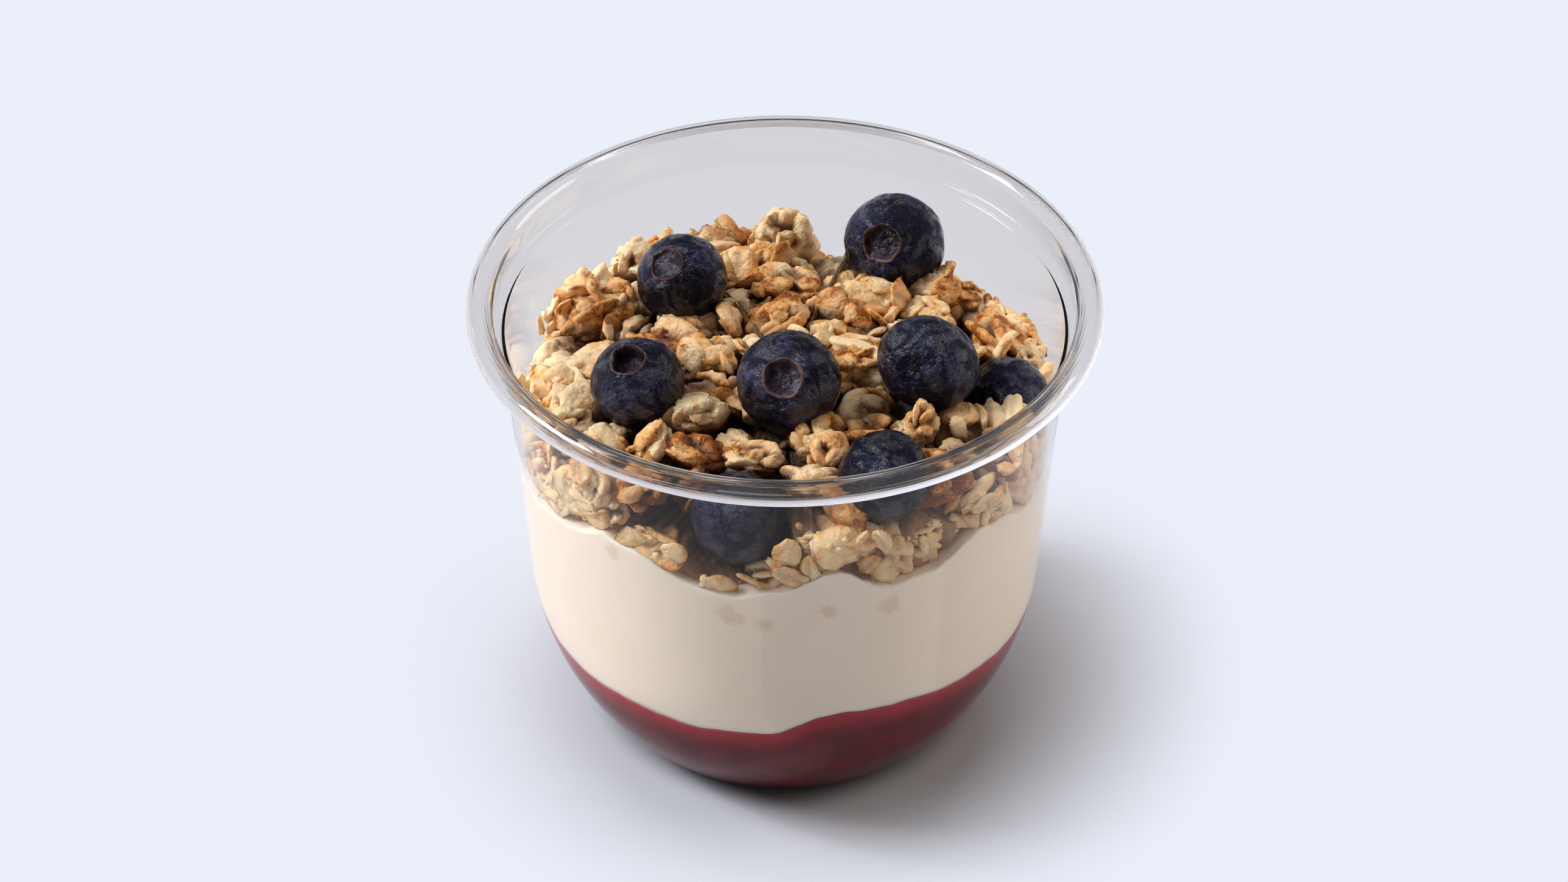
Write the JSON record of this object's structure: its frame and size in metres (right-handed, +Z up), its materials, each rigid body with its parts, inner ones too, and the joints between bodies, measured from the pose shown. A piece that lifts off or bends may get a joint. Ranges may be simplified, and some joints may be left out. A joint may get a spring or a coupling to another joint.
{
  "type": "yogurt parfait",
  "caption": "Layered dessert in a clear cup with a rolled lip: stewed berries, yogurt, a heap of granola clusters and whole blueberries on top.",
  "frame": {"origin": "centre of the cup's foot, on the surface that it stands on", "axes": "+Z up along the cup's axis, +X to the right and -Y towards the viewer in the picture"},
  "size_m": [0.098, 0.098, 0.079],
  "materials": {
    "clear_plastic": "clear, glossy moulded plastic",
    "stewed_berries": "wet, dark red, with softer paler streaks where it meets the yogurt",
    "yogurt": "smooth cream white, soft sheen",
    "granola": "golden baked oats, toasted brown at the edges, slightly glazed",
    "blueberry_skin": "near-black blue skin with a pale waxy bloom"
  },
  "bodies": {
    "root": {"cup": "clear_plastic", "fruit_layer": "stewed_berries", "yogurt_layer": "yogurt", "granola_heap": "granola", "blueberry_1": "blueberry_skin", "blueberry_2": "blueberry_skin", "blueberry_3": "blueberry_skin", "blueberry_4": "blueberry_skin", "blueberry_5": "blueberry_skin", "blueberry_6": "blueberry_skin", "blueberry_7": "blueberry_skin", "blueberry_8": "blueberry_skin"}
  },
  "joints": []
}
